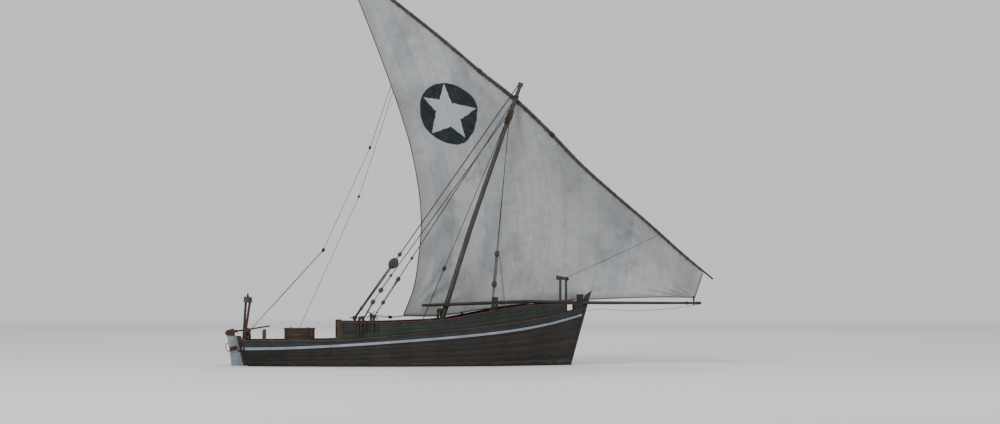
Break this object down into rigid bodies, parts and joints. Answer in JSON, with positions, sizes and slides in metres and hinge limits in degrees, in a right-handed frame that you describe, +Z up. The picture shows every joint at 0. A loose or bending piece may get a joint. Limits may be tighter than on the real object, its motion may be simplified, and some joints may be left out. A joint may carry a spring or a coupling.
{
  "type": "lateen-rigged dhow sailing boat",
  "caption": "Wooden dhow with a raked stem and mast, transom stern with hung rudder, raised washboards, long bowsprit and one big lateen sail on a spliced yard.",
  "frame": {"origin": "amidships on the centreline, at the waterline", "axes": "+X towards the bow, +Y to port, +Z up"},
  "size_m": [18.5917, 4.2386, 17.1735],
  "materials": {
    "tarred": "dark oiled and tarred planks, weathered",
    "painted": "pale blue-grey paint, chalky",
    "timber": "bare dark timber, worn",
    "deck": "bare deck boards, walked dull",
    "spar": "oiled round spar",
    "canvas": "off-white cotton canvas, stained",
    "rope": "dark coir rope",
    "rudder": "faded blue-grey paint",
    "iron": "rusty forged iron"
  },
  "bodies": {
    "hull": {"keel": "tarred", "stem_post": "tarred", "stern_post": "tarred", "planking_port": "tarred", "planking_starboard": "tarred", "transom": "tarred", "taffrail": "timber", "wale_port": "painted", "wale_starboard": "painted", "cap_rail_port": "timber", "cap_rail_starboard": "timber", "washboard_port": "tarred", "washboard_starboard": "tarred", "washboard_rail_port": "timber", "washboard_rail_starboard": "timber", "bow_board_port": "tarred", "bow_board_starboard": "tarred", "washboard_post_port": "timber", "washboard_post_starboard": "timber", "aft_deck": "deck", "fore_deck": "deck", "hold_floor": "deck", "mast_step": "timber", "beam_aft_deck": "timber", "beam_hold": "timber", "beam_fore_deck": "timber", "beam_mast": "timber", "mast": "spar", "hounds": "rope", "bowsprit": "spar", "bow_bitt_aft": "timber", "bow_bitt_fore": "timber", "bow_bitt_cap": "timber", "gallows_post_port": "timber", "gallows_post_starboard": "timber", "gallows_beam": "timber", "deck_locker": "timber", "timber_head_halyard": "timber", "timber_head_aft": "timber", "timber_head_fore": "timber", "shroud_fore": "rope", "shroud_aft": "rope", "halyard_block": "timber", "halyard": "rope", "halyard_tackle": "rope", "gudgeon_1": "iron", "gudgeon_2": "iron"},
    "rudder": {"rudder_blade": "rudder", "rudder_head": "timber", "tiller": "timber"},
    "sail_rig": {"yard_lower_pole": "spar", "yard_upper_pole": "spar", "yard_seizing_1": "rope", "yard_seizing_2": "rope", "yard_sling": "rope", "sail": "canvas"},
    "lid": {"locker_lid": "timber"}
  },
  "joints": [
    {"name": "rudder_hinge", "type": "hinge", "parent": "hull", "child": "rudder", "pos_m": [-6.6206, 0, 0], "axis": [-0.2241, 0, 0.9746], "range_deg": [-35, 35]},
    {"name": "sail_swing", "type": "hinge", "parent": "hull", "child": "sail_rig", "pos_m": [3.751, 0.1803, 10.129], "axis": [0.6718, -0.0304, -0.7401], "range_deg": [0, 35]},
    {"name": "lid_hinge", "type": "hinge", "parent": "hull", "child": "lid", "pos_m": [-4.45, 0.54, 1.3803], "axis": [-1, 0, 0], "range_deg": [0, 100]}
  ]
}
